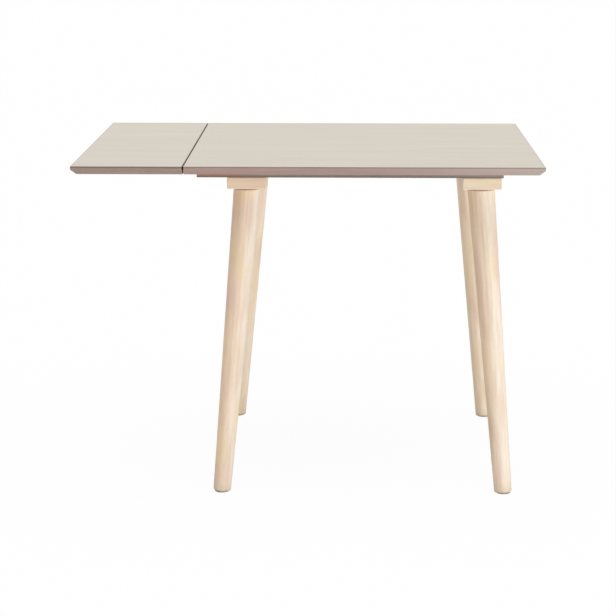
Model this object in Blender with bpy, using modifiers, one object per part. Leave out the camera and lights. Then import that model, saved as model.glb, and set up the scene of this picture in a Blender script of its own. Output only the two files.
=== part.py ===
# Extending dining table: a square top on four splayed legs, with a loose leaf at its left end.
# The leaf rests on two pull-out bars (lopers) that run in grooves under the main top.
# Metres, +Z up, +X from the leaf to the main top, -Y towards the front.
# The origin lies on the floor, under the middle of the extended top.

from math import cos, pi, sin

import bmesh
import bpy
from mathutils import Quaternion, Vector

# Boards
MAIN_LENGTH = 0.800
LEAF_LENGTH = 0.248
TOP_DEPTH = 0.800
TABLE_HEIGHT = 0.769
BOARD = 0.019
SEAM = 0.002
LIP = 0.0075
BEVEL_DEPTH = 0.012
BOARD_EASE = 0.0008

# Clearances: GAP between fixed pieces, RUN_GAP round the sliding ones
GAP = 0.0003
RUN_GAP = 0.0004

# Rails under the main top
RAIL_THICK = 0.0165
RAIL_WIDTH = 0.090
RAIL_SETBACK = 0.0805
RAIL_LEFT_INSET = 0.024
RAIL_RIGHT_INSET = 0.0856
RAIL_EASE = 0.001

# Leg blocks
BLOCK = 0.0876
BLOCK_TALL = 0.0262
BLOCK_LEFT_INSET = 0.0922
BLOCK_RIGHT_INSET = 0.0897
BLOCK_STEP = 0.0015
BLOCK_EASE = 0.0015

# Legs and glides
LEG_TOP_RADIUS = 0.031
LEG_FOOT_RADIUS = 0.0203
FOOT_OUT_X = 0.061
FOOT_OUT_Y = 0.0563
FOOT_ROUND = 0.0065
TENON_RADIUS = 0.016
TENON_SHORT = 0.004
TENON_ROOT = 0.020
GLIDE_RADIUS = 0.0165
GLIDE_THICK = 0.002
GLIDE_EASE = 0.0007
GLIDE_PIN_RADIUS = 0.0025
GLIDE_PIN_LONG = 0.012

# Lopers, their guides and stops
LOPER_LENGTH = 0.480
LOPER_WIDTH = 0.040
LOPER_REACH = 0.200
LOPER_GRIP = 0.012
LOPER_EASE = 0.0015
TONGUE_OUT = 0.006
TONGUE_TALL = 0.006
TONGUE_SHORT = 0.005
GUIDE_WIDTH = 0.030
CROSS_WIDTH = 0.060
CROSS_THICK = 0.018
PEG_RADIUS = 0.005
PEG_DROP = 0.012
PEG_SEAT = 0.010
PEG_EASE = 0.001
STOP_LONG = 0.020

# Dowels that line the leaf up
DOWEL_RADIUS = 0.004
DOWEL_LONG = 0.040
DOWEL_EASE = 0.001
DOWEL_EDGE = 0.120
DOWEL_SLACK = 0.003

# Leg bolts and their inserts
BOLT_RADIUS = 0.003
BOLT_PLAY = 0.0005
BOLT_HEAD_RADIUS = 0.005
BOLT_HEAD_TALL = 0.006
BOLT_SUNK = 0.001
BOLT_BITE = 0.010
BOLT_EDGE = 0.0115
SOCKET_RADIUS = 0.0028
SOCKET_DEEP = 0.0035
INSERT_RADIUS = 0.005
INSERT_LONG = 0.012

# Wood screws
SCREW_RADIUS = 0.002
SCREW_TIP = 0.006
SCREW_HEAD_RADIUS = 0.004
SCREW_HEAD_TALL = 0.003
SCREW_BITE = 0.011

# Faces of round pieces
LEG_SIDES = 32
TENON_SIDES = 24
SMALL_SIDES = 12
HEX_SIDES = 6
ROUND_STEPS = 5

# Places along X
RIGHT_END = (LEAF_LENGTH + SEAM + MAIN_LENGTH) / 2
LEFT_END = -RIGHT_END
MAIN_SEAM = RIGHT_END - MAIN_LENGTH
LEAF_SEAM = LEFT_END + LEAF_LENGTH
RAIL_LEFT = MAIN_SEAM + RAIL_LEFT_INSET
RAIL_RIGHT = RIGHT_END - RAIL_RIGHT_INSET
LEFT_BLOCK = MAIN_SEAM + BLOCK_LEFT_INSET + BLOCK / 2
RIGHT_BLOCK = RIGHT_END - BLOCK_RIGHT_INSET - BLOCK / 2
LOPER_END = MAIN_SEAM - LOPER_REACH
LOPER_TAIL = LOPER_END + LOPER_LENGTH
LOPER_TRAVEL = RAIL_LEFT - LOPER_GRIP - LOPER_END
PEG_X = LEFT_BLOCK + CROSS_WIDTH / 2 + GAP + PEG_RADIUS

# Distances from the middle of the table, the same in front and behind
HALF_DEPTH = TOP_DEPTH / 2
RAIL_OUT = HALF_DEPTH - RAIL_SETBACK
RAIL_IN = RAIL_OUT - RAIL_WIDTH
BLOCK_Y = RAIL_OUT - BLOCK_STEP - BLOCK / 2
LOPER_OUT = RAIL_IN - RUN_GAP
LOPER_IN = LOPER_OUT - LOPER_WIDTH
GUIDE_OUT = LOPER_IN - RUN_GAP
GUIDE_IN = GUIDE_OUT - GUIDE_WIDTH

# Heights
UNDERSIDE = TABLE_HEIGHT - BOARD
RAIL_TOP = UNDERSIDE - GAP
RAIL_LOW = RAIL_TOP - RAIL_THICK
CROSS_TOP = RAIL_LOW - GAP
CROSS_LOW = CROSS_TOP - CROSS_THICK
LOPER_TOP = UNDERSIDE - RUN_GAP
LOPER_LOW = CROSS_TOP + RUN_GAP
TONGUE_MID = (LOPER_TOP + LOPER_LOW) / 2
BLOCK_TOP = RAIL_LOW - GAP
BLOCK_LOW = BLOCK_TOP - BLOCK_TALL
LEG_TOP = BLOCK_LOW - GAP
FOOT_LOW = GLIDE_THICK + GAP

SIDES = (("front", -1), ("rear", 1))
ENDS = (("left", -1, LEFT_BLOCK), ("right", 1, RIGHT_BLOCK))
UP = Vector((0, 0, 1))


def new_collection(name):
    made = bpy.data.collections.new(name)
    bpy.context.scene.collection.children.link(made)
    return made


def srgb(red, green, blue):
    # 8-bit display values to the linear ones that a shader takes
    def linear(value):
        share = value / 255
        return share / 12.92 if share <= 0.04045 else ((share + 0.055) / 1.055) ** 2.4

    return (linear(red), linear(green), linear(blue), 1.0)


def new_material(name, colour, roughness, metallic=0.0):
    made = bpy.data.materials.new(name)
    made.use_nodes = True
    shader = made.node_tree.nodes["Principled BSDF"]
    shader.inputs["Base Color"].default_value = colour
    shader.inputs["Roughness"].default_value = roughness
    shader.inputs["Metallic"].default_value = metallic
    made.diffuse_color = colour
    return made


def new_piece(name, mesh, finish, place, turn=None):
    # A finish makes a part of the table; None makes a helper that only cuts or joins
    made = bpy.data.objects.new(name, mesh)
    made.location = place
    made.rotation_mode = "QUATERNION"
    made.rotation_quaternion = turn or Quaternion()
    if finish is None:
        cutters.objects.link(made)
        made.hide_render = True
        made.display_type = "WIRE"
    else:
        mesh.materials.append(finish)
        parts.objects.link(made)
    return made


def mesh_from(shape, name):
    mesh = bpy.data.meshes.new(name)
    shape.to_mesh(mesh)
    shape.free()
    return mesh


def new_box(name, low, high, finish, ease=0.0):
    low = Vector(low)
    high = Vector(high)
    shape = bmesh.new()
    bmesh.ops.create_cube(shape, size=1.0)
    bmesh.ops.scale(shape, vec=high - low, verts=shape.verts)
    made = new_piece(name, mesh_from(shape, name), finish, (low + high) / 2)
    if ease:
        ease_edges(made, ease)
    return made


def side_box(name, side, x_span, y_span, z_span, finish, ease=0.0):
    # A box on one side of the table, from its two distances to the middle
    near, far = sorted(side * y for y in y_span)
    low = (x_span[0], near, z_span[0])
    high = (x_span[1], far, z_span[1])
    return new_box(name, low, high, finish, ease)


def new_cylinder(name, start, end, radius, finish, sides=SMALL_SIDES):
    start = Vector(start)
    end = Vector(end)
    axis = end - start
    shape = bmesh.new()
    bmesh.ops.create_cone(
        shape, cap_ends=True, segments=sides, radius1=radius, radius2=radius, depth=axis.length
    )
    mesh = mesh_from(shape, name)
    return new_piece(name, mesh, finish, (start + end) / 2, UP.rotation_difference(axis))


def new_turning(name, profile, finish, place, turn=None, sides=SMALL_SIDES, closed=False):
    # The profile holds (radius, height) points down the outer side, turned about the local Z
    mesh = bpy.data.meshes.new(name)
    last = len(profile) - 1
    edges = [(step, step + 1) for step in range(last)]
    if closed:
        edges.append((last, 0))
    mesh.from_pydata([(radius, 0, height) for radius, height in profile], edges, [])
    made = new_piece(name, mesh, finish, place, turn)
    screw = made.modifiers.new("turning", "SCREW")
    screw.axis = "Z"
    screw.steps = sides
    screw.render_steps = sides
    screw.use_merge_vertices = True
    screw.merge_threshold = 0.00001
    screw.use_smooth_shade = True
    return made


def ease_edges(piece, width, segments=1):
    bevel = piece.modifiers.new("eased edges", "BEVEL")
    bevel.width = width
    bevel.segments = segments
    bevel.limit_method = "ANGLE"


def combine(piece, other, operation):
    step = piece.modifiers.new(other.name, "BOOLEAN")
    step.operation = operation
    step.object = other
    step.solver = "EXACT"


def cut(cutter, *pieces):
    for piece in pieces:
        combine(piece, cutter, "DIFFERENCE")


def new_board(name, x_low, x_high, free_left, free_right):
    # A board with an upright lip, then a bevel under its free edges; a seam edge stays square
    half = Vector(((x_high - x_low) / 2, HALF_DEPTH, BOARD / 2))
    shape = bmesh.new()
    bmesh.ops.create_cube(shape, size=2.0)
    bmesh.ops.scale(shape, vec=half, verts=shape.verts)
    everything = shape.verts[:] + shape.edges[:] + shape.faces[:]
    lip_height = Vector((0, 0, half.z - LIP))
    bmesh.ops.bisect_plane(shape, geom=everything, plane_co=lip_height, plane_no=UP)
    bottom = min(vert.co.z for vert in shape.verts)
    for vert in shape.verts:
        if vert.co.z > bottom + LIP / 2:
            continue
        vert.co.y -= BEVEL_DEPTH if vert.co.y > 0 else -BEVEL_DEPTH
        if vert.co.x < 0 and free_left:
            vert.co.x += BEVEL_DEPTH
        if vert.co.x > 0 and free_right:
            vert.co.x -= BEVEL_DEPTH
    middle = ((x_low + x_high) / 2, 0, TABLE_HEIGHT - BOARD / 2)
    made = new_piece(name, mesh_from(shape, name), laminate, middle)
    ease_edges(made, BOARD_EASE, segments=2)
    return made


def screw_profile(length, grow=0.0, below=0.0):
    # Tip at the top and head at the bottom; a hole is the same profile, grown, and open below
    profile = [
        (0, length + grow),
        (SCREW_RADIUS + grow, length - SCREW_TIP + grow),
        (SCREW_RADIUS + grow, SCREW_HEAD_TALL),
        (SCREW_HEAD_RADIUS + grow, 0),
    ]
    if below:
        profile.append((SCREW_HEAD_RADIUS + grow, -below))
    profile.append((0, -below))
    return profile


def add_screw(name, x, y, head, *drilled):
    # A countersunk screw driven up into the main top through the pieces under it
    length = UNDERSIDE + SCREW_BITE - head
    place = (x, y, head)
    new_turning(name, screw_profile(length), steel, place)
    hole = new_turning(f"{name}_hole", screw_profile(length, GAP, SCREW_HEAD_TALL), None, place)
    cut(hole, main_top, *drilled)


def add_bolt(name, x, y, block, rail):
    head = BLOCK_LOW + BOLT_SUNK
    seat = head + BOLT_HEAD_TALL
    tip = UNDERSIDE + BOLT_BITE
    profile = [
        (0, tip - head),
        (BOLT_RADIUS, tip - head),
        (BOLT_RADIUS, BOLT_HEAD_TALL),
        (BOLT_HEAD_RADIUS, BOLT_HEAD_TALL),
        (BOLT_HEAD_RADIUS, 0),
        (0, 0),
    ]
    bolt = new_turning(name, profile, steel, (x, y, head))
    socket_low = (x, y, head - SOCKET_DEEP)
    socket_high = (x, y, head + SOCKET_DEEP)
    cut(new_cylinder(f"{name}_socket", socket_low, socket_high, SOCKET_RADIUS, None, HEX_SIDES), bolt)

    shank_radius = BOLT_RADIUS + BOLT_PLAY
    head_radius = BOLT_HEAD_RADIUS + BOLT_PLAY
    shank_low = (x, y, BLOCK_LOW - BOLT_SUNK)
    cut(new_cylinder(f"{name}_hole", shank_low, (x, y, UNDERSIDE), shank_radius, None), block, rail)
    counterbore_top = (x, y, seat + GAP)
    cut(new_cylinder(f"{name}_counterbore", shank_low, counterbore_top, head_radius, None), block)

    ring = [
        (shank_radius, INSERT_LONG),
        (INSERT_RADIUS, INSERT_LONG),
        (INSERT_RADIUS, 0),
        (shank_radius, 0),
    ]
    new_turning(f"{name}_insert", ring, brass, (x, y, UNDERSIDE), closed=True)
    pocket_low = (x, y, UNDERSIDE - GAP)
    pocket_high = (x, y, UNDERSIDE + INSERT_LONG + GAP)
    cut(new_cylinder(f"{name}_pocket", pocket_low, pocket_high, INSERT_RADIUS + GAP, None), main_top)


def leg_profile(length):
    # A straight taper from above the shoulder to a foot with a rounded edge
    over = LEG_TOP_RADIUS
    taper = (LEG_TOP_RADIUS - LEG_FOOT_RADIUS) / length
    arc_middle = LEG_FOOT_RADIUS - FOOT_ROUND
    profile = [(0, over), (LEG_TOP_RADIUS + taper * over, over)]
    for step in range(ROUND_STEPS + 1):
        angle = pi / 2 * step / ROUND_STEPS
        height = FOOT_ROUND - length - FOOT_ROUND * sin(angle)
        profile.append((arc_middle + FOOT_ROUND * cos(angle), height))
    profile.append((0, -length))
    return profile


def add_leg(corner, out_x, out_y, x, y, block):
    shoulder = Vector((x, y, LEG_TOP))
    foot = Vector((x + out_x * FOOT_OUT_X, y + out_y * FOOT_OUT_Y, 0))
    run = foot - shoulder
    lean = UP.rotation_difference(-run)
    upward = -run.normalized()

    leg = new_turning(f"{corner}_leg", leg_profile(run.length), pale_wood, shoulder, lean, LEG_SIDES)
    reach = Vector((1, 1, 0)) * 3 * LEG_TOP_RADIUS
    rise = UP * 3 * LEG_TOP_RADIUS
    cut(new_box(f"{corner}_shoulder_cut", shoulder - reach, shoulder + reach + rise, None), leg)
    floor = Vector((foot.x, foot.y, FOOT_LOW))
    cut(new_box(f"{corner}_foot_cut", floor - reach - rise, floor + reach, None), leg)

    # The tenon follows the lean of the leg into the block above it
    root = shoulder - upward * TENON_ROOT
    tip = shoulder + upward * (BLOCK_TALL - TENON_SHORT)
    tenon = new_cylinder(f"{corner}_tenon", root, tip, TENON_RADIUS, None, TENON_SIDES)
    combine(leg, tenon, "UNION")
    bore_low = shoulder - upward * TENON_ROOT
    bore_high = shoulder + upward * (BLOCK_TALL + TENON_ROOT)
    bore_radius = TENON_RADIUS + GAP
    cut(new_cylinder(f"{corner}_bore", bore_low, bore_high, bore_radius, None, TENON_SIDES), block)

    pin_top = GLIDE_THICK + GLIDE_PIN_LONG
    profile = [
        (0, pin_top),
        (GLIDE_PIN_RADIUS, pin_top),
        (GLIDE_PIN_RADIUS, GLIDE_THICK),
        (GLIDE_RADIUS, GLIDE_THICK),
        (GLIDE_RADIUS, GLIDE_EASE),
        (GLIDE_RADIUS - GLIDE_EASE, 0),
        (0, 0),
    ]
    new_turning(f"{corner}_glide", profile, plastic, foot)
    pin_end = foot + UP * (pin_top + GAP)
    cut(new_cylinder(f"{corner}_pin_hole", foot, pin_end, GLIDE_PIN_RADIUS + GAP, None), leg)


def add_corner(side_name, out_y, end_name, out_x, x, rail):
    # One leg block with its leg, and two bolts on the diagonal that the lean leaves clear
    corner = f"{side_name}_{end_name}"
    y = out_y * BLOCK_Y
    half = BLOCK / 2
    low = (x - half, y - half, BLOCK_LOW)
    high = (x + half, y + half, BLOCK_TOP)
    block = new_box(f"{corner}_block", low, high, pale_wood, BLOCK_EASE)
    add_leg(corner, out_x, out_y, x, y, block)
    offset = half - BOLT_EDGE
    add_bolt(f"{corner}_outer_bolt", x + out_x * offset, y - out_y * offset, block, rail)
    add_bolt(f"{corner}_inner_bolt", x - out_x * offset, y + out_y * offset, block, rail)


def new_slide(name, place):
    # An empty on the line that a moving group slides along
    made = bpy.data.objects.new(name, None)
    made.location = place
    parts.objects.link(made)
    return made


def hang_on(slide, *pieces):
    for piece in pieces:
        piece.parent = slide
        piece.location = piece.location - slide.location


def round_bar(name, low, high, radius, ease, finish):
    # A dowel from one end to the other, with a chamfer at both ends
    low = Vector(low)
    high = Vector(high)
    length = (high - low).length
    profile = [
        (0, length),
        (radius - ease, length),
        (radius, length - ease),
        (radius, ease),
        (radius - ease, 0),
        (0, 0),
    ]
    return new_turning(name, profile, finish, low, UP.rotation_difference(high - low))


def add_loper(side_name, side):
    rail_x = (RAIL_LEFT, RAIL_RIGHT)
    rail_z = (RAIL_LOW, RAIL_TOP)
    rail = side_box(f"{side_name}_rail", side, rail_x, (RAIL_IN, RAIL_OUT), rail_z, stained, RAIL_EASE)
    guide_y = (GUIDE_IN, GUIDE_OUT)
    guide = side_box(f"{side_name}_guide", side, rail_x, guide_y, rail_z, stained, RAIL_EASE)

    # One wide cutter ploughs the facing grooves of the rail and the guide
    groove_x = (RAIL_LEFT - TONGUE_OUT, RAIL_RIGHT + TONGUE_OUT)
    groove_y = (GUIDE_OUT - TONGUE_OUT, RAIL_IN + TONGUE_OUT)
    half_groove = TONGUE_TALL / 2 + RUN_GAP
    groove_z = (TONGUE_MID - half_groove, TONGUE_MID + half_groove)
    cut(side_box(f"{side_name}_groove", side, groove_x, groove_y, groove_z, None), rail, guide)

    bar_x = (LOPER_END, LOPER_TAIL)
    bar_z = (LOPER_LOW, LOPER_TOP)
    bar_y = (LOPER_IN, LOPER_OUT)
    loper = side_box(f"{side_name}_loper", side, bar_x, bar_y, bar_z, pale_wood, LOPER_EASE)
    tongue_x = (LOPER_END + TONGUE_SHORT, LOPER_TAIL - TONGUE_SHORT)
    tongue_y = (LOPER_IN - TONGUE_OUT, LOPER_OUT + TONGUE_OUT)
    tongue_z = (TONGUE_MID - TONGUE_TALL / 2, TONGUE_MID + TONGUE_TALL / 2)
    combine(loper, side_box(f"{side_name}_tongue", side, tongue_x, tongue_y, tongue_z, None), "UNION")

    # The peg meets the left cross rail when the loper is out
    peg_y = side * (LOPER_IN + LOPER_OUT) / 2
    peg_low = Vector((PEG_X, peg_y, LOPER_LOW - PEG_DROP))
    peg_high = Vector((PEG_X, peg_y, LOPER_LOW + PEG_SEAT))
    peg = round_bar(f"{side_name}_stop_peg", peg_low, peg_high, PEG_RADIUS, PEG_EASE, pale_wood)
    hole_high = peg_high + UP * GAP
    cut(new_cylinder(f"{side_name}_peg_hole", peg_low, hole_high, PEG_RADIUS + GAP, None), loper)
    slide = new_slide(f"{side_name}_loper_slide", (LOPER_END, peg_y, TONGUE_MID))
    hang_on(slide, loper, peg)

    # The stop block meets the tail of the stowed loper
    stop_near = LOPER_TAIL + LOPER_TRAVEL + GAP
    stop_x = (stop_near, stop_near + STOP_LONG)
    stop_z = (LOPER_LOW, RAIL_TOP)
    side_box(f"{side_name}_stop_block", side, stop_x, bar_y, stop_z, stained, RAIL_EASE)
    return rail, guide


def add_cross_rail(name, x):
    reach = BLOCK_Y - BLOCK / 2 - GAP
    half = CROSS_WIDTH / 2
    low = (x - half, -reach, CROSS_LOW)
    high = (x + half, reach, CROSS_TOP)
    return new_box(name, low, high, stained, RAIL_EASE)


def add_dowels(leaf):
    height = TABLE_HEIGHT - BOARD / 2
    slide = new_slide("leaf_slide", (LEAF_SEAM, 0, height))
    dowels = []
    outer = HALF_DEPTH - DOWEL_EDGE
    for name, y in (("front", -outer), ("middle", 0), ("rear", outer)):
        low = Vector((LEAF_SEAM - DOWEL_LONG / 2, y, height))
        high = Vector((LEAF_SEAM + DOWEL_LONG / 2, y, height))
        dowels.append(round_bar(f"{name}_dowel", low, high, DOWEL_RADIUS, DOWEL_EASE, pale_wood))
        socket_low = low - Vector((GAP, 0, 0))
        socket_high = high + Vector((DOWEL_SLACK, 0, 0))
        socket = new_cylinder(f"{name}_dowel_hole", socket_low, socket_high, DOWEL_RADIUS + GAP, None)
        cut(socket, leaf, main_top)
    hang_on(slide, leaf, *dowels)


def add_frame():
    rails = {}
    guides = {}
    for side_name, side in SIDES:
        rails[side], guides[side] = add_loper(side_name, side)
    for end_name, out_x, x in ENDS:
        cross = add_cross_rail(f"{end_name}_cross_rail", x)
        for side_name, side in SIDES:
            add_corner(side_name, side, end_name, out_x, x, rails[side])
            y = side * (GUIDE_IN + GUIDE_OUT) / 2
            add_screw(f"{side_name}_{end_name}_cross_screw", x, y, CROSS_LOW, cross, guides[side])

    # Each rail has a screw in its left stub and one midway between its blocks
    stub = (RAIL_LEFT + LEFT_BLOCK - BLOCK / 2) / 2
    midway = (LEFT_BLOCK + RIGHT_BLOCK) / 2
    third = (RIGHT_BLOCK - LEFT_BLOCK) / 3
    for side_name, side in SIDES:
        rail_y = side * (RAIL_IN + RAIL_OUT) / 2
        add_screw(f"{side_name}_rail_stub_screw", stub, rail_y, RAIL_LOW, rails[side])
        add_screw(f"{side_name}_rail_middle_screw", midway, rail_y, RAIL_LOW, rails[side])
        guide_y = side * (GUIDE_IN + GUIDE_OUT) / 2
        add_screw(f"{side_name}_guide_left_screw", LEFT_BLOCK + third, guide_y, RAIL_LOW, guides[side])
        add_screw(f"{side_name}_guide_right_screw", RIGHT_BLOCK - third, guide_y, RAIL_LOW, guides[side])


for old in list(bpy.data.objects):
    bpy.data.objects.remove(old, do_unlink=True)
parts = new_collection("extending_table")
cutters = new_collection("cutters")

laminate = new_material("greige_board", srgb(217, 210, 198), 0.45)
stained = new_material("taupe_stained_wood", srgb(140, 119, 108), 0.6)
pale_wood = new_material("pale_wood", srgb(229, 209, 190), 0.5)
steel = new_material("zinc_steel", srgb(190, 192, 195), 0.35, 1.0)
brass = new_material("brass", srgb(196, 164, 96), 0.35, 1.0)
plastic = new_material("grey_plastic", srgb(150, 146, 140), 0.5)

main_top = new_board("main_top", MAIN_SEAM, RIGHT_END, False, True)
extension_leaf = new_board("extension_leaf", LEFT_END, LEAF_SEAM, True, False)
add_dowels(extension_leaf)
add_frame()
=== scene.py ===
# Studio dressing of the extending dining table: finishes, finer turned pieces, light and camera.
# Metres, +X from the leaf to the main top, -Y towards the camera, floor at zero.

import bpy
import numpy as np
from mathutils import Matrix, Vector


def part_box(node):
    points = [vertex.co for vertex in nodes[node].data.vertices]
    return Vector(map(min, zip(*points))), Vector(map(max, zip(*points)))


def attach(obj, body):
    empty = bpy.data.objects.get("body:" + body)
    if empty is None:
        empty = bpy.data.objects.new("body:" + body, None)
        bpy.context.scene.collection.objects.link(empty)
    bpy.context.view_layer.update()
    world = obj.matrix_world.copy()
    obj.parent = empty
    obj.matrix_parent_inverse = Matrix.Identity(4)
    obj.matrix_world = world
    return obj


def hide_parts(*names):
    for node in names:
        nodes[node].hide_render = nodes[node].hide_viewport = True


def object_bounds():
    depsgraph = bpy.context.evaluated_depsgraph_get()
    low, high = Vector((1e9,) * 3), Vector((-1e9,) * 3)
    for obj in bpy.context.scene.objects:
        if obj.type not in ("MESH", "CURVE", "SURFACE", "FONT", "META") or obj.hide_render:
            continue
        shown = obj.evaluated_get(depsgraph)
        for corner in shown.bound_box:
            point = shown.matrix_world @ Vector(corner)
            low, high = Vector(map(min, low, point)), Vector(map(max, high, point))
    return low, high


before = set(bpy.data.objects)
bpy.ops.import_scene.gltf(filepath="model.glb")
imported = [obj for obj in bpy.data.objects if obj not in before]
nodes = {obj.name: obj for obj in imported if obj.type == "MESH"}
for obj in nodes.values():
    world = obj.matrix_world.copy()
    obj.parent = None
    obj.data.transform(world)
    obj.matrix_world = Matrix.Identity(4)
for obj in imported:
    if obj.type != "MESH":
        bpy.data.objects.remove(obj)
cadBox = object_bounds()


def tone(red, green, blue):
    # display values 0..255 to linear, with full alpha
    share = np.array([red, green, blue]) / 255
    linear = np.where(share <= 0.04045, share / 12.92, ((share + 0.055) / 1.055) ** 2.4)
    return (*linear.tolist(), 1.0)


def intoScene(name, data):
    held = bpy.data.objects.new(name, data)
    bpy.context.scene.collection.objects.link(held)
    return held


# shader maths

class Socket:
    # a node's output; arithmetic on it adds Math nodes to its tree
    def __init__(self, sheet, socket):
        self.sheet = sheet
        self.socket = socket

    def __add__(self, other):
        return self.sheet.maths("ADD", self, other)

    def __sub__(self, other):
        return self.sheet.maths("SUBTRACT", self, other)

    def __rsub__(self, other):
        return self.sheet.maths("SUBTRACT", other, self)

    def __mul__(self, other):
        return self.sheet.maths("MULTIPLY", self, other)

    def __truediv__(self, other):
        return self.sheet.maths("DIVIDE", self, other)

    __radd__ = __add__
    __rmul__ = __mul__


class NodeSheet:
    # one node tree, and the single method that adds nodes to it
    def __init__(self, tree):
        self.tree = tree

    def add(self, kind, settings, sockets, output=0):
        node = self.tree.nodes.new(kind)
        for key, value in settings.items():
            if key == "stops":
                self.setStops(node.color_ramp, value)
            else:
                setattr(node, key, value)
        for key, value in sockets.items():
            if isinstance(value, Socket):
                self.tree.links.new(value.socket, node.inputs[key])
            else:
                node.inputs[key].default_value = value
        return Socket(self, node.outputs[output]) if node.outputs else None

    def setStops(self, ramp, stops):
        while len(ramp.elements) < len(stops):
            ramp.elements.new(0.5)
        for element, (place, value) in zip(ramp.elements, stops):
            element.position = place
            element.color = (value, value, value, 1.0)

    def maths(self, operation, first, second=0.0):
        return self.add("ShaderNodeMath", {"operation": operation}, {0: first, 1: second})

    def vectorMaths(self, operation, first, second, output=0):
        return self.add("ShaderNodeVectorMath", {"operation": operation}, {0: first, 1: second}, output)

    def objectPlace(self):
        return self.add("ShaderNodeTexCoord", {}, {}, "Object")

    def ownPlace(self, attribute):
        return self.add("ShaderNodeAttribute", {"attribute_name": attribute}, {}, "Vector")

    def mapped(self, place, scale=(1, 1, 1), turn=(0, 0, 0), move=(0, 0, 0)):
        return self.add(
            "ShaderNodeMapping", {}, {"Vector": place, "Scale": scale, "Rotation": turn, "Location": move}
        )

    def noise(self, place, scale, detail=2.0, rough=0.5, output=0):
        # scale is (across, across, along): cycles for each metre
        return self.add(
            "ShaderNodeTexNoise",
            {},
            {"Vector": self.mapped(place, scale), "Scale": 1.0, "Detail": detail, "Roughness": rough},
            output,
        )

    def ease(self, value, low, high):
        # 0 below low, 1 above high, smooth between
        return self.add(
            "ShaderNodeMapRange",
            {"interpolation_type": "SMOOTHSTEP"},
            {"Value": value, "From Min": low, "From Max": high, "To Min": 0.0, "To Max": 1.0},
        )

    def ramp(self, value, stops):
        return self.add("ShaderNodeValToRGB", {"stops": stops}, {"Fac": value})

    def split(self, vector, axis):
        return self.add("ShaderNodeSeparateXYZ", {}, {"Vector": vector}, axis)

    def mix(self, first, second, share):
        return self.add(
            "ShaderNodeMix", {"data_type": "RGBA", "clamp_factor": True}, {0: share, 6: first, 7: second}, 2
        )


class Finish(NodeSheet):
    # a material on the Principled shader; fixed values go straight to its sockets
    def __init__(self, name, fixed):
        self.material = bpy.data.materials.new(name)
        self.material.use_nodes = True
        super().__init__(self.material.node_tree)
        self.shader = self.tree.nodes["Principled BSDF"]
        for key, value in fixed.items():
            self.shader.inputs[key].default_value = value

    def drive(self, key, value):
        self.tree.links.new(value.socket, self.shader.inputs[key])

    def emboss(self, height, depth, strength):
        bump = self.add("ShaderNodeBump", {}, {"Height": height, "Distance": depth, "Strength": strength})
        self.drive("Normal", bump)


# wood

quarter = np.pi / 2
alongX = (0, -quarter, 0)  # turns the grain, which runs up the pattern's Z, to lie along X
alongY = (quarter, 0, 0)

figure = {  # scales are cycles for each metre: across, across and along the grain
    "bendScale": (9, 9, 1.1),
    "clearScale": (17, 17, 1.6),
    "clearRange": (0.36, 0.62),
    "ringStops": [(0.0, 0.0), (0.5, 0.12), (0.86, 1.0), (1.0, 0.0)],
    "fibreScale": (620, 620, 11),
    "poreScale": (1500, 1500, 70),
    "poreRange": (0.63, 0.75),
    "patchScale": (34, 34, 6),
    "patchRange": (0.48, 0.72),
    "bandScale": (23, 23, 7),
    "bandRange": (0.46, 0.66),
    "fibreRough": 0.16,
    "poreRough": 0.08,
    "fibreHigh": 0.5,
    "ringHigh": 0.3,
    "deep": 0.0002,  # of the relief, in metres
}


def woodFigure(sheet, place, look):
    # rings round a pith off to one side, long streaks, fine fibre and short pores, all 0..1;
    # last, the distance from the pith
    bend = sheet.noise(place, figure["bendScale"], output="Color")
    bend = sheet.vectorMaths("MULTIPLY", bend, (look["wander"], look["wander"], 0))
    across = sheet.mapped(place, scale=(1, 1, 0), move=(*look["pith"], 0))
    reach = sheet.vectorMaths("LENGTH", sheet.vectorMaths("ADD", across, bend), (0, 0, 0), "Value")
    ring = sheet.maths("FRACT", reach / look["ringWidth"])
    clear = sheet.ease(sheet.noise(place, figure["clearScale"], 1.0), *figure["clearRange"])
    late = sheet.ramp(ring, figure["ringStops"]) * clear  # rings show only where the wood is clear
    streak = sheet.noise(place, look["streakScale"])
    fibre = sheet.noise(place, figure["fibreScale"], 3.0, 0.6)
    pore = sheet.ease(sheet.noise(place, figure["poreScale"], 1.0), *figure["poreRange"])
    return late, streak, fibre, pore, reach


def woodFinish(name, look, place, touch=None):
    # place(sheet) gives the vector that the figure lies in
    # touch(finish, colour) adds the piece's own marks
    finish = Finish(name, {"Specular IOR Level": look["gloss"]})
    spot = place(finish)
    late, streak, fibre, pore, reach = woodFigure(finish, spot, look)
    heart = 1 - finish.ease(reach, look["heartEnd"], look["sapStart"])
    light = finish.mix(look["light"], look["heartLight"], heart)
    dark = finish.mix(look["dark"], look["heartDark"], heart)
    shade = late * look["rings"] + (streak - 0.5) * look["streaks"] + (fibre - 0.5) * look["fibres"]
    colour = finish.mix(light, dark, shade + look["base"])
    patch = finish.ease(finish.noise(spot, figure["patchScale"], 1.0), *figure["patchRange"])
    colour = finish.mix(colour, look["blush"], patch * look["patches"])
    band = finish.ease(finish.noise(spot, figure["bandScale"], 1.0), *figure["bandRange"])
    colour = finish.mix(colour, look["straw"], band * look["bands"])
    colour = finish.mix(colour, look["poreTone"], pore * look["pores"])
    finish.drive("Base Color", touch(finish, colour) if touch else colour)
    rough = look["rough"] + (fibre - 0.5) * figure["fibreRough"] + pore * figure["poreRough"]
    finish.drive("Roughness", rough)
    height = fibre * figure["fibreHigh"] + late * figure["ringHigh"] - pore
    finish.emboss(height, figure["deep"], look["relief"])
    return finish.material


def inSolid(turn):
    return lambda sheet: sheet.mapped(sheet.objectPlace(), turn=turn)


def inTurning(sheet):
    return sheet.ownPlace("woodGrain")


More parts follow.
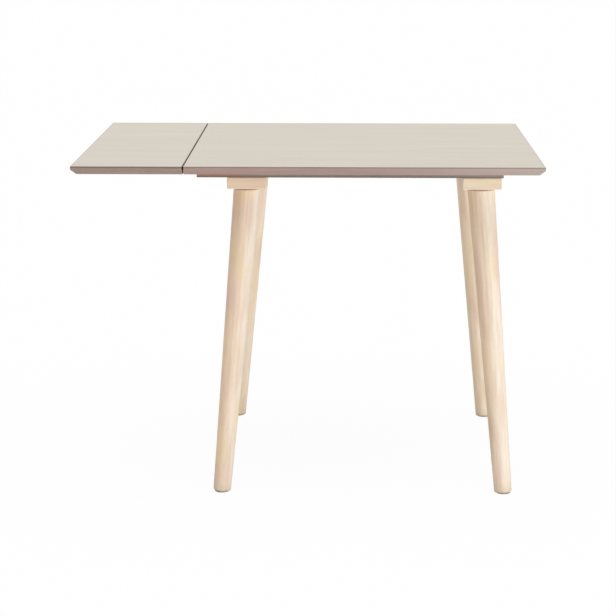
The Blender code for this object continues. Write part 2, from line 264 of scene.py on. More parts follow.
paleWood = {
    "light": tone(243, 230, 212),
    "dark": tone(212, 185, 157),
    "heartLight": tone(236, 210, 184),
    "heartDark": tone(204, 167, 134),
    "heartEnd": 0.042,  # from the pith, in metres
    "sapStart": 0.085,
    "blush": tone(228, 198, 182),
    "straw": tone(240, 216, 172),
    "poreTone": tone(186, 150, 122),
    "pith": (0.0, 0.0),
    "ringWidth": 0.0105,
    "wander": 0.03,
    "rings": 0.16,
    "streakScale": (80, 80, 8),
    "streaks": 1.5,
    "fibres": 0.4,
    "base": 0.12,
    "patches": 0.55,
    "bands": 0.4,
    "pores": 0.28,
    "rough": 0.5,
    "gloss": 0.4,
    "relief": 0.25,
}
rearLitWood = paleWood | {  # a paler, warmer copy for the rear pair of legs: painted light, standing in for the light the top keeps off them
    "light": tone(253, 237, 214),
    "dark": tone(236, 205, 173),
    "heartLight": tone(253, 231, 200),
    "heartDark": tone(233, 194, 155),
}
blockWood = paleWood | {
    "light": tone(243, 226, 199),
    "dark": tone(221, 193, 160),
    "pith": (0.75, 0.02),
    "streakScale": (95, 95, 6),
}
barWood = paleWood | {"pith": (0.79, 0.15)}
taupeWood = {  # stained through, so its heartwood is no darker
    "light": tone(176, 152, 140),
    "dark": tone(128, 106, 96),
    "heartLight": tone(176, 152, 140),
    "heartDark": tone(128, 106, 96),
    "heartEnd": 0.0,
    "sapStart": 0.01,
    "blush": tone(150, 122, 108),
    "straw": tone(166, 144, 128),
    "poreTone": tone(98, 80, 72),
    "pith": (0.8, 0.03),
    "ringWidth": 0.006,
    "wander": 0.02,
    "rings": 0.3,
    "streakScale": (95, 95, 2.2),
    "streaks": 0.9,
    "fibres": 0.6,
    "base": 0.3,
    "patches": 0.35,
    "bands": 0.2,
    "pores": 0.4,
    "rough": 0.58,
    "gloss": 0.3,
    "relief": 0.3,
}
# the rail's copy of the taupe is darker: painted shade, for the rail under the top's overhang
railShadedWood = taupeWood | {"light": tone(150, 137, 131), "dark": tone(106, 95, 91)}

blockGap = 0.0003  # between a leg's shoulder and its block

legMarks = {  # heights in metres
    "shoulder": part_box("front_left_block")[0][2] - blockGap,
    "line": tone(140, 90, 68),  # painted shade where the leg meets its block, under the block's overhang
    "lineBelow": (0.0066, 0.0024),  # under the shoulder, where it starts and where it is full
    "lineAbove": (0.0005, 0.001),  # over it, where the tenon goes into the block
    "lineShare": 0.9,
    "scuff": tone(216, 200, 168),  # varnish yellowed by shoes and mops
    "scuffRange": (0.010, 0.030),
    "scuffShare": 0.3,
    "foot": tone(158, 143, 126),  # painted shade round the rounded foot, darker towards the floor
    "footShadeRange": (0.002, 0.009),
    "footShadeShare": 0.7,
}
blockMarks = {
    "warm": tone(224, 190, 156),  # the left pair of blocks is warmer and darker
    "warmRange": (0.0, 0.2),  # along X
    "warmShare": 0.4,
    "edgeHighlight": tone(250, 232, 212),  # painted highlight along the lower edge
    "highlightRange": (0.001, 0.0034),  # over the leg's shoulder
    "highlightShare": 0.55,
}
railMarks = {
    "stub": tone(162, 115, 78),  # thin stain on the left end, full again past the block
    "stubRange": (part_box("front_left_block")[0][0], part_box("front_left_block")[1][0]),
    "stubShare": 0.7,
    "railLitEnd": tone(176, 162, 153),  # painted light on the right end, paler like the board's edge
    "railLitRange": (0.2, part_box("front_rail")[1][0]),
    "railLitShare": 0.3,
    "edge": tone(82, 80, 80),  # painted shade along the foot of the upright faces
    "edgeLow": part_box("front_rail")[0][2],
    "edgeRange": (0.001, 0.005),
    "edgeShare": 0.6,
    "levelRange": (0.5, 0.9),  # of the normal's Z: upright to level
}


def legWear(finish, colour):
    # painted shade under the shoulder, then the scuffed lower end, then painted shade round the foot
    up = finish.split(finish.objectPlace(), "Z")
    start, full = (legMarks["shoulder"] - drop for drop in legMarks["lineBelow"])
    over, gone = (legMarks["shoulder"] + rise for rise in legMarks["lineAbove"])
    # painted shade: a dark band just under the shoulder
    line = finish.ease(up, start, full) * (1 - finish.ease(up, over, gone))
    colour = finish.mix(colour, legMarks["line"], line * legMarks["lineShare"])
    scuffed = 1 - finish.ease(up, *legMarks["scuffRange"])
    colour = finish.mix(colour, legMarks["scuff"], scuffed * legMarks["scuffShare"])
    # painted shade on the rounded foot, darker towards the floor
    footShaded = 1 - finish.ease(up, *legMarks["footShadeRange"])
    return finish.mix(colour, legMarks["foot"], footShaded * legMarks["footShadeShare"])


def blockWear(finish, colour):
    spot = finish.objectPlace()
    left = 1 - finish.ease(finish.split(spot, "X"), *blockMarks["warmRange"])
    colour = finish.mix(colour, blockMarks["warm"], left * blockMarks["warmShare"])
    # painted highlight along the block's lower edge
    low, high = (legMarks["shoulder"] + rise for rise in blockMarks["highlightRange"])
    litEdge = 1 - finish.ease(finish.split(spot, "Z"), low, high)
    return finish.mix(colour, blockMarks["edgeHighlight"], litEdge * blockMarks["highlightShare"])


def railWear(finish, colour):
    spot = finish.objectPlace()
    along = finish.split(spot, "X")
    bare = 1 - finish.ease(along, *railMarks["stubRange"])
    colour = finish.mix(colour, railMarks["stub"], bare * railMarks["stubShare"])
    # painted light: paler towards the right end
    railLit = finish.ease(along, *railMarks["railLitRange"])
    colour = finish.mix(colour, railMarks["railLitEnd"], railLit * railMarks["railLitShare"])
    # painted shade along the foot of the upright faces
    low, high = (railMarks["edgeLow"] + rise for rise in railMarks["edgeRange"])
    railFootShade = 1 - finish.ease(finish.split(spot, "Z"), low, high)
    normal = finish.add("ShaderNodeNewGeometry", {}, {}, "Normal")
    level = finish.maths("ABSOLUTE", finish.split(normal, "Z"))
    upright = 1 - finish.ease(level, *railMarks["levelRange"])
    return finish.mix(colour, railMarks["edge"], railFootShade * upright * railMarks["edgeShare"])


legFinish = woodFinish("paleTurnedWood", paleWood, inTurning, legWear)
rearLitLegFinish = woodFinish("paleRearWoodPaintedLight", rearLitWood, inTurning, legWear)
blockFinish = woodFinish("paleBlockWood", blockWood, inSolid(alongX), blockWear)
barFinish = woodFinish("paleBarWood", barWood, inSolid(alongX))
railFinish = woodFinish("taupeRailWoodShaded", railShadedWood, inSolid(alongX), railWear)
guideFinish = woodFinish("taupeGuideWood", taupeWood, inSolid(alongX))
crossFinish = woodFinish("taupeCrossWood", taupeWood, inSolid(alongY))
print("wood finishes: pale and taupe")


# boards: greige veneer on top, taupe edge all round

board = {  # depths are below the top, in metres
    "height": cadBox[1][2],
    "gloss": 0.42,
    "rough": 0.46,
    "sideRough": 0.1,  # added everywhere but on the veneer
    "fibreRough": 0.12,
    "deep": 0.00012,
    "relief": 0.2,
    "soft": 0.0002,  # blur of a drawn line
    "veneerRange": (0.0001, 0.0003),
    "veneerLight": tone(213, 205, 190),
    "veneerDark": tone(198, 189, 173),
    "veneerPore": tone(182, 170, 154),
    "pith": (0.9, 0.04),
    "ringWidth": 0.011,
    "wander": 0.03,
    "streakScale": (95, 95, 2.2),
    "cloudScale": (16, 16, 3),
    "rings": 0.22,
    "streaks": 0.9,
    "fibres": 0.5,
    "clouds": 0.5,
    "base": 0.32,
    "pores": 0.22,
    "rimTone": tone(178, 164, 154),  # the edge band's upper edge, a thin line round the veneer
    "rimWide": 0.0024,
    "rimShare": 0.75,
    "bandScale": (420, 420, 6),
    "bandSpread": 1.2,
    "endRange": (0.35, 0.5),  # of the normal's X: side to end
    "fadeTone": tone(188, 174, 166),  # painted light: the edge is greyer and paler towards the right end, the side the light comes from
    "fadeRange": (0.05, 0.55),
    "fadeShare": 0.65,
    "lineTone": tone(92, 74, 66),
    "backTone": tone(168, 146, 134),
    "backRange": (0.0183, 0.0187),
    "backSpread": 0.8,
    "backShare": 0.2,
    "seamLeft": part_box("extension_leaf")[1][0],
    "seamRight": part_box("main_top")[0][0],
    "seamOver": 0.0003,  # the painted shade runs this far round the corner
    "seamTone": tone(40, 32, 29),  # painted shade: the seam's faces are dark in their upper part, deep in the narrow gap
    "seamLow": tone(112, 94, 86),
    "seamRange": (0.006, 0.010),
    "notchWide": 0.0008,  # the seam's painted shade line opens at its upper end, on the edges
    "notchRange": (0.004, 0.009),
}
mainBoard = board | {
    "node": "main_top",
    "edgeLight": tone(179, 154, 145),
    "edgeDark": tone(133, 107, 98),
    "edgeShare": 0.4,
    "lineDeep": 0.0034,
    "lineShare": 0.5,
}
# the leaf's edge tones are darker than the main top's: painted shade
leafBoard = board | {
    "node": "extension_leaf",
    "edgeLight": tone(174, 154, 145),
    "edgeDark": tone(130, 110, 100),
    "edgeShare": 0.56,
    "lineDeep": 0.0048,
    "lineShare": 0.6,
}


def boardFinish(name, look):
    finish = Finish(name, {"Specular IOR Level": look["gloss"]})
    spot = finish.objectPlace()
    lengthwise = finish.mapped(spot, turn=alongX)
    along = finish.split(spot, "X")
    depth = look["height"] - finish.split(spot, "Z")

    late, streak, fibre, pore = woodFigure(finish, lengthwise, look)[:4]
    cloud = finish.noise(lengthwise, look["cloudScale"], 1.0)
    shade = late * look["rings"] + (streak - 0.5) * look["streaks"] + (fibre - 0.5) * look["fibres"]
    shade = shade + (cloud - 0.5) * look["clouds"] + look["base"]
    veneer = finish.mix(look["veneerLight"], look["veneerDark"], shade)
    veneer = finish.mix(veneer, look["veneerPore"], pore * look["pores"])

    # how far a point lies inside the board's outline, front, back and ends
    low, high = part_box(look["node"])
    fromEnd = (high[0] - low[0]) / 2 - finish.maths("ABSOLUTE", along - (high[0] + low[0]) / 2)
    fromSide = high[1] - finish.maths("ABSOLUTE", finish.split(spot, "Y"))
    inside = finish.maths("MINIMUM", fromEnd, fromSide)
    rim = 1 - finish.ease(inside, look["rimWide"] - look["soft"], look["rimWide"] + look["soft"])
    veneer = finish.mix(veneer, look["rimTone"], rim * look["rimShare"])

    # the edge band runs along X at front and back, along Y at the ends
    normal = finish.add("ShaderNodeNewGeometry", {}, {}, "Normal")
    atEnd = finish.ease(finish.maths("ABSOLUTE", finish.split(normal, "X")), *look["endRange"])
    bandX = finish.noise(lengthwise, look["bandScale"], 3.0, 0.6)
    bandY = finish.noise(finish.mapped(spot, turn=alongY), look["bandScale"], 3.0, 0.6)
    band = bandX * (1 - atEnd) + bandY * atEnd
    share = (band - 0.5) * look["bandSpread"] + look["edgeShare"]
    edge = finish.mix(look["edgeLight"], look["edgeDark"], share)
    # painted light towards the right end
    litEnd = finish.ease(along, *look["fadeRange"])
    edge = finish.mix(edge, look["fadeTone"], litEnd * look["fadeShare"])
    line = 1 - finish.ease(depth, look["lineDeep"] / 2, look["lineDeep"])
    edge = finish.mix(edge, look["lineTone"], line * look["lineShare"])

    # plain backing under the board
    share = (streak - 0.5) * look["backSpread"] + look["backShare"]
    back = finish.mix(look["backTone"], look["edgeDark"], share)
    side = finish.mix(edge, back, finish.ease(depth, *look["backRange"]))

    # painted shade on the seam's faces, by how far a point lies from the middle of the gap
    middle = (look["seamLeft"] + look["seamRight"]) / 2
    half = (look["seamRight"] - look["seamLeft"]) / 2 + look["seamOver"]
    beside = finish.maths("ABSOLUTE", along - middle)
    notch = (1 - finish.ease(depth, *look["notchRange"])) * look["notchWide"]
    seamShade = finish.mix(look["seamTone"], look["seamLow"], finish.ease(depth, *look["seamRange"]))
    side = finish.mix(seamShade, side, finish.ease(beside - notch, half, half + look["soft"]))

    onTop = 1 - finish.ease(depth, *look["veneerRange"])
    finish.drive("Base Color", finish.mix(side, veneer, onTop))
    rough = look["rough"] + (1 - onTop) * look["sideRough"] + (fibre - 0.5) * look["fibreRough"]
    finish.drive("Roughness", rough)
    finish.emboss(fibre * figure["fibreHigh"] - pore, look["deep"], look["relief"])
    return finish.material


mainFinish = boardFinish("greigeMainBoard", mainBoard)
leafFinish = boardFinish("greigeLeafBoard", leafBoard)
print("board finishes: main and leaf")


# metal and plastic

metal = {
    "latheScale": (900, 900, 2600),
    "cloudScale": (260, 260, 260),
    "dullRange": (0.4, 0.7),
    "latheRough": 0.2,
    "cloudRough": 0.25,
    "deep": 0.00005,
    "relief": 0.3,
}
plastic = {
    "clean": tone(158, 154, 147),
    "scuffed": tone(120, 114, 106),
    "gloss": 0.4,
    "rough": 0.48,
    "grainScale": (2600, 2600, 2600),
    "grainShare": 0.3,
    "grainRough": 0.15,
    "scuffScale": (700, 700, 200),
    "scuffRange": (0.45, 0.65),
    "scuffHeight": (0.0002, 0.0016),  # over the floor, where the scuffs fade out
    "scuffShare": 0.7,
    "scuffRough": 0.25,
    "deep": 0.00005,
    "relief": 0.4,
}


def metalFinish(name, bright, dull, rough):
    # turning marks are rings of noise across the axis; a slow cloud dulls the plating
    finish = Finish(name, {"Metallic": 1.0})
    spot = finish.objectPlace()
    marks = finish.noise(spot, metal["latheScale"], 2.0, 0.6)
    cloud = finish.noise(spot, metal["cloudScale"])
    finish.drive("Base Color", finish.mix(bright, dull, finish.ease(cloud, *metal["dullRange"])))
    rough = rough + (marks - 0.5) * metal["latheRough"] + (cloud - 0.5) * metal["cloudRough"]
    finish.drive("Roughness", rough)
    finish.emboss(marks, metal["deep"], metal["relief"])
    return finish.material


def plasticFinish(name, look):
    finish = Finish(name, {"Specular IOR Level": look["gloss"]})
    spot = finish.objectPlace()
    grain = finish.noise(spot, look["grainScale"], 2.0, 0.6)
    low = 1 - finish.ease(finish.split(spot, "Z"), *look["scuffHeight"])
    scuff = finish.ease(finish.noise(spot, look["scuffScale"], 3.0, 0.6), *look["scuffRange"]) * low
    share = scuff * look["scuffShare"] + (grain - 0.5) * look["grainShare"]
    finish.drive("Base Color", finish.mix(look["clean"], look["scuffed"], share))
    rough = look["rough"] + scuff * look["scuffRough"] + (grain - 0.5) * look["grainRough"]
    finish.drive("Roughness", rough)
    finish.emboss(grain, look["deep"], look["relief"])
    return finish.material


steelFinish = metalFinish("zincSteel", tone(198, 200, 203), tone(160, 163, 168), 0.34)
brassFinish = metalFinish("plainBrass", tone(205, 172, 102), tone(168, 132, 70), 0.38)
glideFinish = plasticFinish("greyGlidePlastic", plastic)
print("metal and plastic finishes")

dressed = {  # by the solid's own name, or else by the last word of it
    "main_top": mainFinish,
    "extension_leaf": leafFinish,
    "left_cross_rail": crossFinish,
    "right_cross_rail": crossFinish,
    "front_stop_block": guideFinish,
    "rear_stop_block": guideFinish,
    "block": blockFinish,
    "loper": barFinish,
    "insert": brassFinish,
    "rail": railFinish,
}
for name, node in nodes.items():
    finish = dressed.get(name) or dressed.get(name.split("_")[-1], guideFinish)
    for slot in node.material_slots:
        slot.material = finish
print("solids dressed")


# turned surfaces

def spun(radius, height, sides):
    # P(s, t) = (r cos t, r sin t, h): rings go from the top down, r may vary with t as well
    turn = np.linspace(0, 2 * np.pi, sides, endpoint=False)
    radius = np.broadcast_to(np.asarray(radius, float).reshape(len(height), -1), (len(height), sides))
    height = np.broadcast_to(np.asarray(height, float)[:, None], radius.shape)
    return np.stack([radius * np.cos(turn), radius * np.sin(turn), height], axis=-1)


def roundedCorner(radius, height, size, start, stop, steps=6):
    # quarter arc about (radius, height) in the profile's plane, angles in quarters of a turn
    angle = np.linspace(start, stop, steps) * quarter
    return radius + size * np.cos(angle), height + size * np.sin(angle)


def chain(*stretches):
    # joins (radii, heights) stretches into one profile
    radii, heights = zip(*stretches)
    return np.hstack(radii), np.hstack(heights)


def frameOf(axis):
    # two unit vectors square to the axis, right handed with it
    axis = np.asarray(axis, float) / np.linalg.norm(axis)
    side = np.cross([0.0, 1.0, 0.0], axis)
    side = side / np.linalg.norm(side)
    return np.stack([side, np.cross(axis, side), axis])


crease = 0.6  # in radians; an edge that turns more stays sharp


def closedPiece(name, grid, finish, body, grain=None):
    # quads between rings, and a fan to a pole at both ends
    rings, sides = grid.shape[:2]
    points = np.concatenate([grid.reshape(-1, 3), grid[0].mean(0)[None], grid[-1].mean(0)[None]])
    index = np.arange(rings * sides).reshape(rings, sides)
    after = np.roll(index, -1, axis=1)
    quads = np.stack([index[:-1], index[1:], after[1:], after[:-1]], axis=-1).reshape(-1, 4)
    topPole = np.full(sides, rings * sides)
    topFan = np.stack([topPole, index[0], after[0]], axis=-1)
    lowFan = np.stack([topPole + 1, after[-1], index[-1]], axis=-1)
    mesh = bpy.data.meshes.new(name)
    mesh.from_pydata(points.tolist(), [], quads.tolist() + topFan.tolist() + lowFan.tolist())
    mesh.shade_smooth()
    mesh.set_sharp_from_angle(angle=crease)
    if grain is not None:
        grain = np.concatenate([grain.reshape(-1, 3), grain[0].mean(0)[None], grain[-1].mean(0)[None]])
        mesh.attributes.new("woodGrain", "FLOAT_VECTOR", "POINT").data.foreach_set("vector", grain.ravel())
    mesh.materials.append(finish)
    piece = intoScene(name, mesh)
    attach(piece, body)
    return piece


def middleOf(node):
    low, high = (np.array(corner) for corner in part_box(node))
    return low, high, (low + high) / 2


# legs

leg = {
    "topRadius": 0.031,
    "footRadius": 0.0203,
    "footRound": 0.0065,
    "footHeight": 0.0023,
    "topEase": 0.0006,
    "lip": (8.0, 1.0),  # how far in the shoulder's two rings lie, in eases
    "sides": 128,
    "rings": 40,
    "arcRings": 27,
    "padRings": 5,
    "padShares": (0.9, 0.1),  # the first and the last ring of the level underside
    # the cuts set each leg's darker heartwood on its -X side, turned from the light: wood figure, and
    # partly painted shade
    "cut": {  # where each leg lay in the log: across from the pith, and along it
        "front_left": (0.044, 0.020, 5.10),
        "front_right": (0.052, 0.020, 0.91),
        "rear_left": (0.048, 0.020, 0.43),
        "rear_right": (0.062, 0.020, 1.37),
    },
}


def legSurface(shoulder, foot):
    # straight taper about the leaning axis, r = r0 + k h, each side line ending on the level shoulder;
    # below it the foot's arc, with everything under the foot's height brought up level
    run = shoulder - foot
    length = np.linalg.norm(run)
    basis = frameOf(run)
    turn = np.linspace(0, 2 * np.pi, leg["sides"], endpoint=False)
    outward = np.cos(turn)[:, None] * basis[0] + np.sin(turn)[:, None] * basis[1]
    slope = (leg["topRadius"] - leg["footRadius"]) / length
    fallen = shoulder[2] - foot[2] - leg["footRadius"] * outward[:, 2]
    top = fallen / (basis[2][2] + slope * outward[:, 2])
    share = np.linspace(1, 0, leg["rings"])[:, None]
    height = leg["footRound"] + (top - leg["footRound"]) * share
    radius = leg["footRadius"] + slope * height
    angle = np.linspace(0, 1, leg["arcRings"] + 1)[1:, None] * quarter
    arcRadius = leg["footRadius"] - leg["footRound"] * (1 - np.cos(angle)) + 0 * turn
    arcHeight = leg["footRound"] * (1 - np.sin(angle)) + 0 * turn
    flatRadius = arcRadius[-1] * np.linspace(*leg["padShares"], leg["padRings"])[:, None]
    lipRadius = radius[:1] - leg["topEase"] * np.array(leg["lip"])[:, None]
    height = np.concatenate([top[None] + 0 * lipRadius, height, arcHeight, 0 * flatRadius])
    radius = np.concatenate([lipRadius, radius, arcRadius, flatRadius])
    height[2] -= leg["topEase"]  # the first ring under the shoulder
    grid = foot + radius[..., None] * outward + height[..., None] * basis[2]
    grid[:2, :, 2] = shoulder[2]
    grid[..., 2] = np.maximum(grid[..., 2], leg["footHeight"])
    grain = np.stack([radius * np.cos(turn), radius * np.sin(turn), height], axis=-1)
    return grid, grain


for corner, cut in leg["cut"].items():
    low, _, middle = middleOf(f"{corner}_block")
    shoulder = np.array([middle[0], middle[1], low[2] - blockGap])
    foot = middleOf(f"{corner}_glide")[2] * np.array([1, 1, 0])
    grid, grain = legSurface(shoulder, foot)
    grain = grain + np.array(cut)
    # the rear pair takes the paler copy of the wood, which is painted light
    finish = rearLitLegFinish if corner.startswith("rear") else legFinish
    piece = closedPiece(f"{corner}_turned_leg", grid, finish, "table", grain)
    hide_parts(f"{corner}_leg")
print("legs turned")


# glides

glide = {
    "radius": 0.0165,
    "thick": 0.002,
    "hub": 0.004,  # the innermost ring's radius
    "upperEase": 0.0003,
    "lowerEase": 0.0008,
    "lowerSteps": 8,
    "sides": 96,
}


def glideProfile():
    radius, thick, upper, lower = (glide[key] for key in ("radius", "thick", "upperEase", "lowerEase"))
    return chain(
        ([glide["hub"], radius - 2 * upper], [thick, thick]),
        roundedCorner(radius - upper, thick - upper, upper, 1, 0),
        roundedCorner(radius - lower, lower, lower, 0, -1, glide["lowerSteps"]),
        ([radius - 2 * lower, glide["hub"]], [0, 0]),
    )


for corner in leg["cut"]:
    middle = middleOf(f"{corner}_glide")[2]
    grid = spun(*glideProfile(), glide["sides"]) + middle * np.array([1, 1, 0])
    piece = closedPiece(f"{corner}_floor_glide", grid, glideFinish, "table")
    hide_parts(f"{corner}_glide")
print("glides turned")


# dowels and stop pegs

dowel = {
    "ease": 0.0012,
    "flutes": 18,
    "fluteDeep": 0.00022,
    "fluteStart": 0.4,  # from the ends, in double eases
    "sides": 144,
    "rings": 12,
    "hub": 0.3,  # the innermost ring, as a share of the radius
    "straight": 1.6,  # eases from the end to the straight part
    "cut": (0.2, 0.0, 0.0),  # place in the log, and how far apart they were cut
    "cutStep": (0.0, 0.03, 0.4),
}
peg = dowel | {
    "ease": 0.001,
    "flutes": 0,
    "fluteDeep": 0.0,
    "sides": 64,
    "cut": (0.3, 0.0, 0.0),
    "cutStep": (0.0, 0.05, 0.3),
}


def roundBar(length, radius, look):
    # a rod with rounded ends; flutes are squared cosines round it, fading out at the ends
    ease = look["ease"]
    straight = look["straight"] * ease
    radii, heights = chain(
        ([radius * look["hub"], radius - 2 * ease], [length, length]),
        roundedCorner(radius - ease, length - ease, ease, 1, 0),
        ([radius] * look["rings"], np.linspace(length - straight, straight, look["rings"])),
        roundedCorner(radius - ease, ease, ease, 0, -1),
        ([radius - 2 * ease, radius * look["hub"]], [0, 0]),
    )
    turn = np.linspace(0, 2 * np.pi, look["sides"], endpoint=False)
    inside = np.clip(np.minimum(heights, length - heights) / (2 * ease) - look["fluteStart"], 0, 1)
    dent = look["fluteDeep"] * inside[:, None] * (0.5 + 0.5 * np.cos(look["flutes"] * turn)) ** 2
    return spun(radii[:, None] - dent, heights, look["sides"])


def grainOf(bar, number, look):
    return bar + np.array(look["cut"]) + number * np.array(look["cutStep"])


for number, place in enumerate(("front", "middle", "rear")):
    low, high, middle = middleOf(f"{place}_dowel")
    bar = roundBar(high[0] - low[0], (high[2] - low[2]) / 2, dowel)
    grid = np.array([low[0], middle[1], middle[2]]) + bar @ frameOf([1, 0, 0])
    grain = grainOf(bar, number, dowel)
    piece = closedPiece(f"{place}_fluted_dowel", grid, legFinish, "leaf", grain)
    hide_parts(f"{place}_dowel")

for number, side in enumerate(("front", "rear")):
    low, high, middle = middleOf(f"{side}_stop_peg")
    bar = roundBar(high[2] - low[2], (high[0] - low[0]) / 2, peg)
    grid = bar + np.array([middle[0], middle[1], low[2]])
    grain = grainOf(bar, number, peg)
    piece = closedPiece(f"{side}_round_peg", grid, legFinish, f"{side}_bar", grain)
    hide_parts(f"{side}_stop_peg")
print("dowels and pegs turned")


# bolts and screws

bolt = {
    "headRadius": 0.005,
    "headTall": 0.006,
    "shankRadius": 0.003,
    "hub": 0.4,  # the shank end's innermost ring, as a share of its radius
    "ease": 0.0005,
    "socketFlat": 0.0025,  # from the axis to a flat of the hexagon
    "socketDeep": 0.0034,
    "socketLip": 0.0001,
    "socketCone": 0.0006,
    "socketRings": (1.12, 1.02, 1.0, 1.0, 0.96, 0.3),  # sizes of its rings, from the face to the floor
    "knurls": 48,
    "knurlDeep": 0.00012,
    "sides": 192,
}
screw = {
    "headRadius": 0.004,
    "headTall": 0.003,
    "shankRadius": 0.002,
    "tip": 0.006,
    "tipLeast": 0.02,  # of the shank's radius, so that the point isn't infinitely thin
    "ease": 0.0002,
    "crossHalf": 0.0023,
    "crossWide": 0.0006,
    "crossDeep": 0.0014,
    "crossWall": 0.00022,  # how far its walls lean
    "crossFloor": 0.8,  # share of an arm over which the floor climbs, along the power below
    "crossCurve": 0.6,
    "pitch": 0.0018,
    "threadDeep": 0.0004,
    "threadMost": 0.4,  # of the core's radius, near the tip
    "rings": 120,
    "faceRings": 34,
    "hub": 0.00012,
    "sides": 96,
}
twistStep = 0.7  # driven home at any angle


def boltSurface(length):
    # spun shank and knurled head; the socket's rings follow r(t) = flat / cos(t within a sixth)
    turn = np.linspace(0, 2 * np.pi, bolt["sides"], endpoint=False)
    hexagon = bolt["socketFlat"] / np.cos((turn + np.pi / 6) % (np.pi / 3) - np.pi / 6)
    ease = bolt["ease"]
    radii, heights = chain(
        ([bolt["shankRadius"] * bolt["hub"], bolt["shankRadius"] - ease], [length, length]),
        ([bolt["shankRadius"]] * 2, [length - ease, bolt["headTall"]]),
        ([bolt["headRadius"] - ease], [bolt["headTall"]]),
        ([bolt["headRadius"]] * 2, [bolt["headTall"] - ease, 2 * ease]),
        roundedCorner(bolt["headRadius"] - ease, ease, ease, 0, -1),
    )
    onSide = (heights < bolt["headTall"] - ease / 2) & (heights > 1.5 * ease)
    dent = bolt["knurlDeep"] * onSide[:, None] * (0.5 + 0.5 * np.cos(bolt["knurls"] * turn))
    floor = bolt["socketDeep"]
    socket = np.outer(bolt["socketRings"], hexagon)
    sunk = [0.0, 0.0, bolt["socketLip"], floor, floor, floor + bolt["socketCone"]]
    return spun(
        np.concatenate([radii[:, None] - dent, socket]), np.concatenate([heights, sunk]), bolt["sides"]
    )


def screwSurface(length):
    # the shank's radius falls and rises with the turn, r = r0 - d (1 - cos(2 pi h / pitch - t)) / 2;
    # the head's face sinks where a point lies within one of the cross's two arms
    turn = np.linspace(0, 2 * np.pi, screw["sides"], endpoint=False)
    ease = screw["ease"]
    climb = np.linspace(length - ease, screw["headTall"] + ease, screw["rings"])
    core = screw["shankRadius"] * np.clip((length - climb) / screw["tip"], screw["tipLeast"], 1)
    crest = 0.5 + 0.5 * np.cos(2 * np.pi * climb[:, None] / screw["pitch"] - turn)
    thread = np.minimum(screw["threadDeep"], screw["threadMost"] * core)
    shank = core[:, None] - thread[:, None] * (1 - crest)
    rim = roundedCorner(screw["headRadius"] - ease, ease, ease, 0.5, -1)
    faceRadius = np.linspace(screw["headRadius"] - 2 * ease, screw["hub"], screw["faceRings"])
    plain = np.concatenate([rim[0], faceRadius])[:, None] + 0 * turn
    heights = np.concatenate([climb, rim[1], 0 * faceRadius])
    grid = spun(np.concatenate([shank, plain]), heights, screw["sides"])
    face = grid[-screw["faceRings"]:]
    across = np.sort(np.abs(face[..., :2]), axis=-1)  # the smaller of x and y, then the larger
    wall = np.clip((screw["crossWide"] - across[..., 0]) / screw["crossWall"], 0, 1)
    rise = screw["crossHalf"] * screw["crossFloor"]
    slope = np.clip((screw["crossHalf"] - across[..., 1]) / rise, 0, 1)
    face[..., 2] += screw["crossDeep"] * wall * slope ** screw["crossCurve"]
    return grid


def spinning(angle):
    # turns row vectors about Z
    return np.array([[np.cos(angle), np.sin(angle), 0], [-np.sin(angle), np.cos(angle), 0], [0, 0, 1]])


fasteners = [name for name in nodes if name.endswith(("_bolt", "_screw"))]
for number, name in enumerate(fasteners):
    low, high, middle = middleOf(name)
    surface = boltSurface if name.endswith("_bolt") else screwSurface
    turned = surface(high[2] - low[2]) @ spinning(twistStep * number)
    grid = turned + np.array([middle[0], middle[1], low[2]])
    piece = closedPiece(f"{name}_driven", grid, steelFinish, "table")
    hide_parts(name)
print(f"fasteners: {len(fasteners)}")


# stage, light and camera

studio = {
    "floorHalf": 60.0,
    "floorTone": (0.95, 0.95, 0.95, 1.0),
    "white": (1.0, 1.0, 1.0, 1.0),
    "whiteShare": 0.96,  # of the floor's look that is plain white; the rest shows the shadow
    "skyLevel": 0.4,
}
overhead = {"strength": 1.75, "spread": 70, "azimuth": 0, "elevation": 84, "height": 3}
strip = {
    "strength": 1.25,  # about the light on a face turned to it, in watts for each square metre
    "azimuth": 40,  # from the camera's side towards +X
    "far": 10.0,
    "wide": 12.0,
    "low": 0.02,
    "high": 0.74,  # under the table's top, so that the top never mirrors it
}


def seenDirectly(sheet):
    # 1 for rays from the camera, and for those mirrored or let through on the way
    path = sheet.add("ShaderNodeLightPath", {}, {}, "Is Camera Ray")
    node = path.socket.node
    glossy = Socket(sheet, node.outputs["Is Glossy Ray"])
    through = Socket(sheet, node.outputs["Is Transmission Ray"])
    return sheet.maths("MAXIMUM", path, sheet.maths("MAXIMUM", glossy, through))


def floorFinish():
    material = bpy.data.materials.new("paleFloor")
    material.use_nodes = True
    material.node_tree.nodes.clear()
    sheet = NodeSheet(material.node_tree)
    matt = sheet.add("ShaderNodeBsdfDiffuse", {}, {"Color": studio["floorTone"]})
    white = sheet.add("ShaderNodeEmission", {}, {"Color": studio["white"], "Strength": 1.0})
    share = seenDirectly(sheet) * studio["whiteShare"]
    upper = sheet.add("ShaderNodeMixShader", {}, {0: share, 1: matt, 2: white})
    clear = sheet.add("ShaderNodeBsdfTransparent", {}, {})  # from below, to leave the underside in sight
    below = sheet.add("ShaderNodeNewGeometry", {}, {}, "Backfacing")
    both = sheet.add("ShaderNodeMixShader", {}, {0: below, 1: upper, 2: clear})
    sheet.add("ShaderNodeOutputMaterial", {}, {"Surface": both})
    return material


def addFloor():
    half = studio["floorHalf"]
    corners = np.array([[-1, -1, 0], [1, -1, 0], [1, 1, 0], [-1, 1, 0]]) * half
    mesh = bpy.data.meshes.new("studioFloor")
    mesh.from_pydata(corners.tolist(), [], [(0, 1, 2, 3)])
    mesh.materials.append(floorFinish())
    intoScene("studioFloor", mesh)


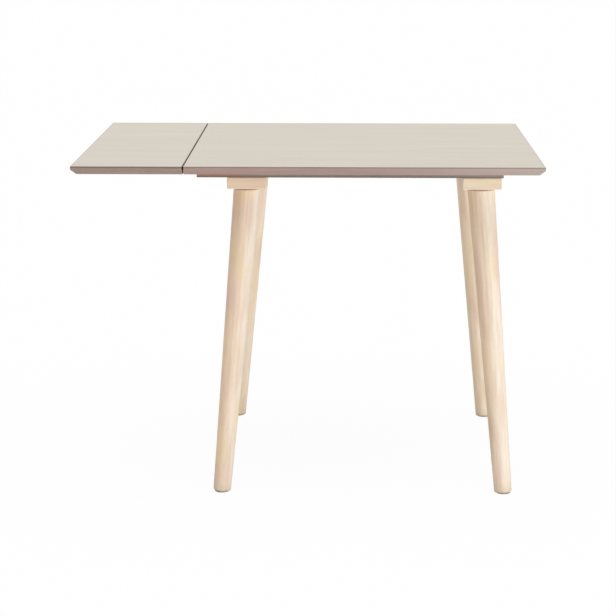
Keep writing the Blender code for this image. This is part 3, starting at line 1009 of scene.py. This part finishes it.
def lightWorld():
    world = bpy.data.worlds.new("studioSky")
    bpy.context.scene.world = world
    world.use_nodes = True
    world.node_tree.nodes.clear()
    sheet = NodeSheet(world.node_tree)
    faint = {"Color": studio["white"], "Strength": studio["skyLevel"]}
    sky = sheet.add("ShaderNodeBackground", {}, faint)
    white = sheet.add("ShaderNodeBackground", {}, {"Color": studio["white"], "Strength": 1.0})
    both = sheet.add("ShaderNodeMixShader", {}, {0: seenDirectly(sheet), 1: sky, 2: white})
    sheet.add("ShaderNodeOutputWorld", {}, {"Surface": both})


def hang(name, lamp, place, tilt, azimuth):
    held = intoScene(name, lamp)
    held.location = place
    held.rotation_euler = (np.radians(tilt), 0, np.radians(azimuth))
    held.visible_camera = False


def addOverhead():
    # a far, wide lamp above the table
    lamp = bpy.data.lights.new("overhead", "SUN")
    lamp.energy = overhead["strength"]
    lamp.angle = np.radians(overhead["spread"])
    hang("overhead", lamp, (0, 0, overhead["height"]), 90 - overhead["elevation"], overhead["azimuth"])


def addStrip():
    # a long low softbox, standing on the floor to the front right
    lamp = bpy.data.lights.new("strip", "AREA")
    lamp.shape = "RECTANGLE"
    lamp.size = strip["wide"]
    lamp.size_y = strip["high"] - strip["low"]
    lamp.energy = strip["strength"] * np.pi * strip["far"] ** 2
    turn = np.radians(strip["azimuth"])
    place = np.array([np.sin(turn), -np.cos(turn), 0]) * strip["far"]
    place[2] = (strip["low"] + strip["high"]) / 2
    hang("strip", lamp, place, 90, strip["azimuth"])


camera = {
    "place": (0.0889, -4.5966, 1.376),
    "down": 12.4278,
    "left": 1.1942,
    "focal": 1919.36,  # in pixels of the 616 pixel frame
    "frame": 616,
    "sensor": 36.0,
    "clip": 200,
}


def addCamera():
    lens = bpy.data.cameras.new("photoCamera")
    lens.sensor_width = camera["sensor"]
    lens.lens = camera["focal"] / camera["frame"] * camera["sensor"]
    lens.clip_end = camera["clip"]
    held = intoScene("photoCamera", lens)
    held.location = camera["place"]
    held.rotation_euler = (np.radians(90 - camera["down"]), 0, np.radians(camera["left"]))
    bpy.context.scene.camera = held


addFloor()
lightWorld()
addOverhead()
addStrip()
addCamera()
bpy.context.scene.view_settings.view_transform = "Standard"
print("studio and camera ready")
